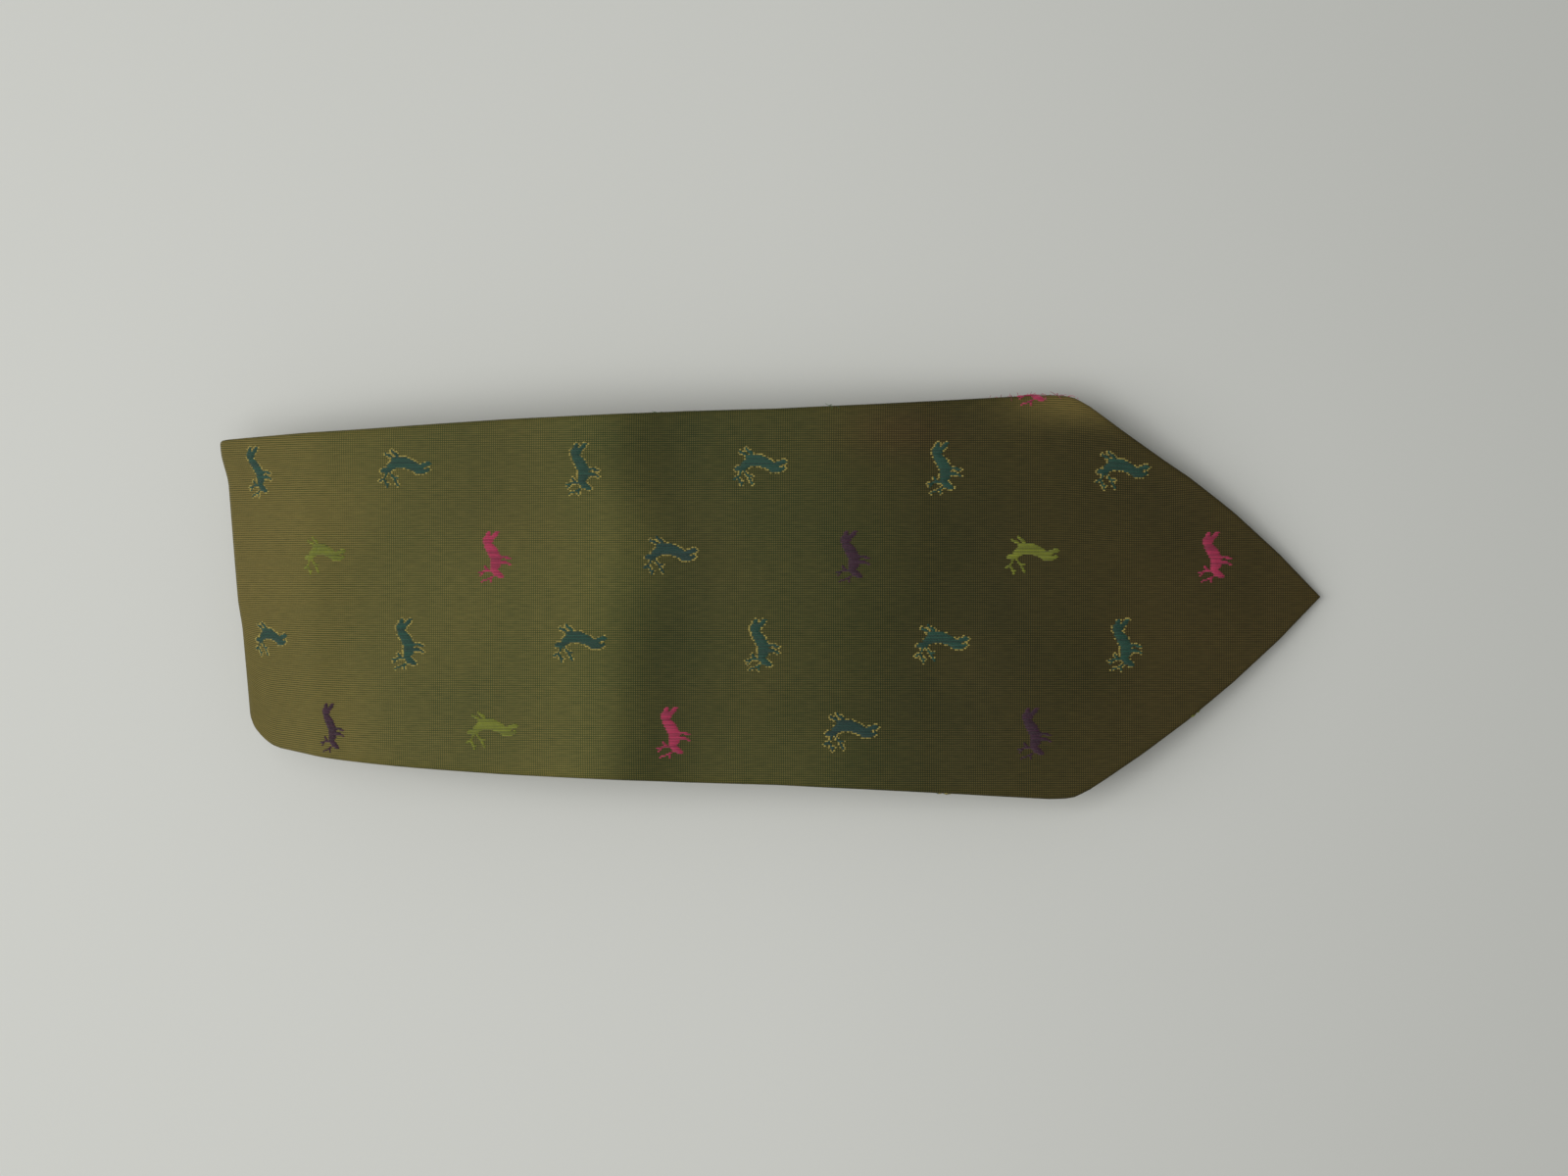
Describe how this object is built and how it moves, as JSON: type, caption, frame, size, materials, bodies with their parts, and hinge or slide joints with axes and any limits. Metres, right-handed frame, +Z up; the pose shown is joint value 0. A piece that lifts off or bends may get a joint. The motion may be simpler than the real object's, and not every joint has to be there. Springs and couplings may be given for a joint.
{
  "type": "necktie",
  "caption": "Woven fabric necktie with a pointed wide blade, fan-folded flat in a stack with the blade on top; its folds open out to the tie's full length.",
  "frame": {"origin": "centre of the bounding box's bottom face, on the surface the folded tie lies on", "axes": "+X along the tie towards the wide blade's point, +Y across the blade, +Z up"},
  "size_m": [0.2414, 0.088, 0.0245],
  "materials": {
    "shell": "brocaded silk, green and gold, satin sheen",
    "lining": "brushed wool, matte",
    "tipping": "smooth lining satin",
    "label": "woven ribbon, blank",
    "thread": "twisted sewing thread"
  },
  "bodies": {
    "leaf_10": {"tail_shell_leaf_10": "shell", "interlining_leaf_10": "lining", "tail_tipping": "tipping", "tail_bar_tack": "thread", "slip_thread_loop": "thread"},
    "turn_9": {"tail_shell_turn_9": "shell", "interlining_turn_9": "lining"},
    "leaf_9": {"tail_shell_leaf_9": "shell", "interlining_leaf_9": "lining"},
    "turn_8": {"tail_shell_turn_8": "shell", "interlining_turn_8": "lining"},
    "leaf_8": {"tail_shell_leaf_8": "shell", "interlining_leaf_8": "lining"},
    "turn_7": {"tail_shell_turn_7": "shell", "interlining_turn_7": "lining"},
    "leaf_7": {"tail_shell_leaf_7": "shell", "neck_shell_leaf_7": "shell", "interlining_leaf_7": "lining"},
    "turn_6": {"neck_shell_turn_6": "shell", "interlining_turn_6": "lining"},
    "leaf_6": {"neck_shell_leaf_6": "shell", "interlining_leaf_6": "lining"},
    "turn_5": {"neck_shell_turn_5": "shell", "interlining_turn_5": "lining"},
    "leaf_5": {"neck_shell_leaf_5": "shell", "blade_shell_leaf_5": "shell", "interlining_leaf_5": "lining"},
    "turn_4": {"blade_shell_turn_4": "shell", "interlining_turn_4": "lining"},
    "leaf_4": {"blade_shell_leaf_4": "shell", "interlining_leaf_4": "lining"},
    "turn_3": {"blade_shell_turn_3": "shell", "interlining_turn_3": "lining"},
    "leaf_3": {"blade_shell_leaf_3": "shell", "interlining_leaf_3": "lining"},
    "turn_2": {"blade_shell_turn_2": "shell", "interlining_turn_2": "lining"},
    "leaf_2": {"blade_shell_leaf_2": "shell", "interlining_leaf_2": "lining"},
    "leaf_2_slope": {"blade_shell_leaf_2_slope": "shell", "interlining_leaf_2_slope": "lining"},
    "turn_1": {"blade_shell_turn_1": "shell", "interlining_turn_1": "lining"},
    "leaf_1_slope": {"blade_shell_leaf_1_slope": "shell", "interlining_leaf_1_slope": "lining"},
    "leaf_1": {"blade_shell_leaf_1": "shell", "interlining_leaf_1": "lining", "keeper_loop": "shell", "maker_label": "label", "care_label": "label"},
    "blade_middle": {"blade_shell_blade_middle": "shell", "interlining_blade_middle": "lining", "blade_tipping_root": "tipping", "blade_bar_tack": "thread"},
    "blade_end": {"blade_shell_blade_end": "shell", "interlining_blade_end": "lining", "blade_tipping_point": "tipping"}
  },
  "joints": [
    {"name": "fold_9_lower", "type": "hinge", "parent": "leaf_10", "child": "turn_9", "pos_m": [-0.11224, 0, 0.0005], "axis": [0, -1, 0], "range_deg": [0, 90]},
    {"name": "fold_9_upper", "type": "hinge", "parent": "turn_9", "child": "leaf_9", "pos_m": [-0.11224, 0, 0.0042], "axis": [0, -1, 0], "range_deg": [0, 90]},
    {"name": "fold_8_lower", "type": "hinge", "parent": "leaf_9", "child": "turn_8", "pos_m": [0.04521, 0, 0.00324], "axis": [0, 1, 0], "range_deg": [0, 90]},
    {"name": "fold_8_upper", "type": "hinge", "parent": "turn_8", "child": "leaf_8", "pos_m": [0.04521, 0, 0.00646], "axis": [0, 1, 0], "range_deg": [0, 90]},
    {"name": "fold_7_lower", "type": "hinge", "parent": "leaf_8", "child": "turn_7", "pos_m": [-0.10801, 0, 0.00544], "axis": [0, -1, 0], "range_deg": [0, 90]},
    {"name": "fold_7_upper", "type": "hinge", "parent": "turn_7", "child": "leaf_7", "pos_m": [-0.10801, 0, 0.00866], "axis": [0, -1, 0], "range_deg": [0, 90]},
    {"name": "fold_6_lower", "type": "hinge", "parent": "leaf_7", "child": "turn_6", "pos_m": [0.03921, 0, 0.00764], "axis": [0, 1, 0], "range_deg": [0, 90]},
    {"name": "fold_6_upper", "type": "hinge", "parent": "turn_6", "child": "leaf_6", "pos_m": [0.03921, 0, 0.01086], "axis": [0, 1, 0], "range_deg": [0, 90]},
    {"name": "fold_5_lower", "type": "hinge", "parent": "leaf_6", "child": "turn_5", "pos_m": [-0.10201, 0, 0.00984], "axis": [0, -1, 0], "range_deg": [0, 90]},
    {"name": "fold_5_upper", "type": "hinge", "parent": "turn_5", "child": "leaf_5", "pos_m": [-0.10201, 0, 0.01306], "axis": [0, -1, 0], "range_deg": [0, 90]},
    {"name": "fold_4_lower", "type": "hinge", "parent": "leaf_5", "child": "turn_4", "pos_m": [0.03121, 0, 0.01204], "axis": [0, 1, 0], "range_deg": [0, 90]},
    {"name": "fold_4_upper", "type": "hinge", "parent": "turn_4", "child": "leaf_4", "pos_m": [0.03121, 0, 0.01526], "axis": [0, 1, 0], "range_deg": [0, 90]},
    {"name": "fold_3_lower", "type": "hinge", "parent": "leaf_4", "child": "turn_3", "pos_m": [-0.09201, 0, 0.01424], "axis": [0, -1, 0], "range_deg": [0, 90]},
    {"name": "fold_3_upper", "type": "hinge", "parent": "turn_3", "child": "leaf_3", "pos_m": [-0.09201, 0, 0.01746], "axis": [0, -1, 0], "range_deg": [0, 90]},
    {"name": "fold_2_lower", "type": "hinge", "parent": "leaf_3", "child": "turn_2", "pos_m": [-0.02679, 0, 0.01644], "axis": [0, 1, 0], "range_deg": [0, 90]},
    {"name": "fold_2_upper", "type": "hinge", "parent": "turn_2", "child": "leaf_2", "pos_m": [-0.02679, 0, 0.01966], "axis": [0, 1, 0], "range_deg": [0, 90]},
    {"name": "leaf_2_slope_bend", "type": "hinge", "parent": "leaf_2", "child": "leaf_2_slope", "pos_m": [-0.0986, 0, 0.01995], "axis": [0, 1, 0], "range_deg": [0, 20]},
    {"name": "fold_1_lower", "type": "hinge", "parent": "leaf_2_slope", "child": "turn_1", "pos_m": [-0.11899, 0, 0.01139], "axis": [0, -1, 0], "range_deg": [0, 90]},
    {"name": "fold_1_upper", "type": "hinge", "parent": "turn_1", "child": "leaf_1_slope", "pos_m": [-0.12068, 0, 0.01604], "axis": [0, -1, 0], "range_deg": [0, 90]},
    {"name": "leaf_1_bend", "type": "hinge", "parent": "leaf_1_slope", "child": "leaf_1", "pos_m": [-0.09937, 0, 0.0243], "axis": [0, -1, 0], "range_deg": [0, 20]},
    {"name": "blade_middle_bend", "type": "hinge", "parent": "leaf_1", "child": "blade_middle", "pos_m": [-0.02974, 0, 0.02449], "axis": [0, -1, 0], "range_deg": [0, 5.01]},
    {"name": "blade_end_bend", "type": "hinge", "parent": "blade_middle", "child": "blade_end", "pos_m": [0.03542, 0, 0.01877], "axis": [0, -1, 0], "range_deg": [0, 5.67]}
  ],
  "couplings": [
    {"joint": "fold_9_upper", "follows": "fold_9_lower", "ratio": 1},
    {"joint": "fold_8_lower", "follows": "fold_9_lower", "ratio": 1},
    {"joint": "fold_8_upper", "follows": "fold_9_lower", "ratio": 1},
    {"joint": "fold_7_lower", "follows": "fold_9_lower", "ratio": 1},
    {"joint": "fold_7_upper", "follows": "fold_9_lower", "ratio": 1},
    {"joint": "fold_6_lower", "follows": "fold_9_lower", "ratio": 1},
    {"joint": "fold_6_upper", "follows": "fold_9_lower", "ratio": 1},
    {"joint": "fold_5_lower", "follows": "fold_9_lower", "ratio": 1},
    {"joint": "fold_5_upper", "follows": "fold_9_lower", "ratio": 1},
    {"joint": "fold_4_lower", "follows": "fold_9_lower", "ratio": 1},
    {"joint": "fold_4_upper", "follows": "fold_9_lower", "ratio": 1},
    {"joint": "fold_3_lower", "follows": "fold_9_lower", "ratio": 1},
    {"joint": "fold_3_upper", "follows": "fold_9_lower", "ratio": 1},
    {"joint": "fold_2_lower", "follows": "fold_9_lower", "ratio": 1},
    {"joint": "fold_2_upper", "follows": "fold_9_lower", "ratio": 1},
    {"joint": "leaf_2_slope_bend", "follows": "fold_9_lower", "ratio": 0.22222},
    {"joint": "fold_1_upper", "follows": "fold_1_lower", "ratio": 1},
    {"joint": "leaf_1_bend", "follows": "fold_9_lower", "ratio": 0.22222},
    {"joint": "blade_middle_bend", "follows": "fold_9_lower", "ratio": 0.055689},
    {"joint": "blade_end_bend", "follows": "fold_9_lower", "ratio": 0.063033}
  ]
}
